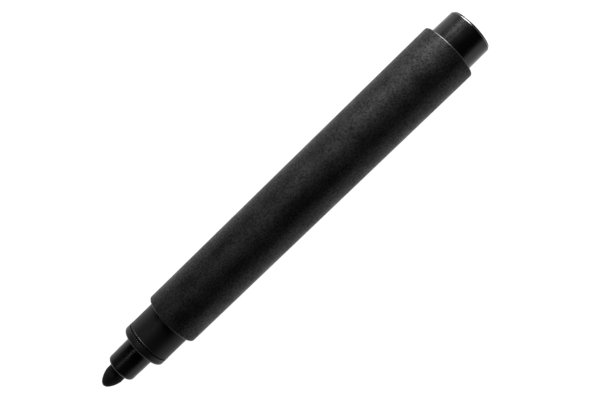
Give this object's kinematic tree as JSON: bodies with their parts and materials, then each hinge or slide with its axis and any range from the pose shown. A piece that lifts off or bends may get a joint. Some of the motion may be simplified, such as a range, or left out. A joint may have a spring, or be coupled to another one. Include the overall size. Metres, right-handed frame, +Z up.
{
  "type": "felt tip marker",
  "caption": "Black felt tip marker, uncapped: tapered matte barrel, slim collar and nozzle with a bullet nib, and a round plug at the rear that a cap can be posted on.",
  "frame": {"origin": "on the surface that the marker lies on, under the middle of its length", "axes": "+X along the marker towards the nib, +Z up from the surface, +Y to its left"},
  "size_m": [0.1304, 0.0164, 0.0165],
  "materials": {
    "barrel_plastic": "black moulded polypropylene with a fine matte grain",
    "collar_plastic": "black moulded polypropylene, smooth satin",
    "nib_holder_plastic": "black moulded polypropylene, polished",
    "nib_felt": "bonded polyester fibre soaked in black ink, dull",
    "reservoir_fibre": "bundled polyester fibre soaked in black ink",
    "wrap_film": "thin clear polypropylene film",
    "plug_plastic": "black moulded polypropylene, glossy"
  },
  "bodies": {
    "barrel": {"barrel": "barrel_plastic", "front_collar": "collar_plastic", "nib_holder": "nib_holder_plastic", "ink_reservoir": "reservoir_fibre", "reservoir_wrap": "wrap_film"},
    "nib": {"nib": "nib_felt"},
    "rear_plug": {"rear_plug": "plug_plastic"}
  },
  "joints": [
    {"name": "nib_pull", "type": "slide", "parent": "barrel", "child": "nib", "axis": [1, 0, 0], "range_m": [0, 0.042]},
    {"name": "plug_pull", "type": "slide", "parent": "barrel", "child": "rear_plug", "axis": [-1, 0, 0], "range_m": [0, 0.014]}
  ]
}
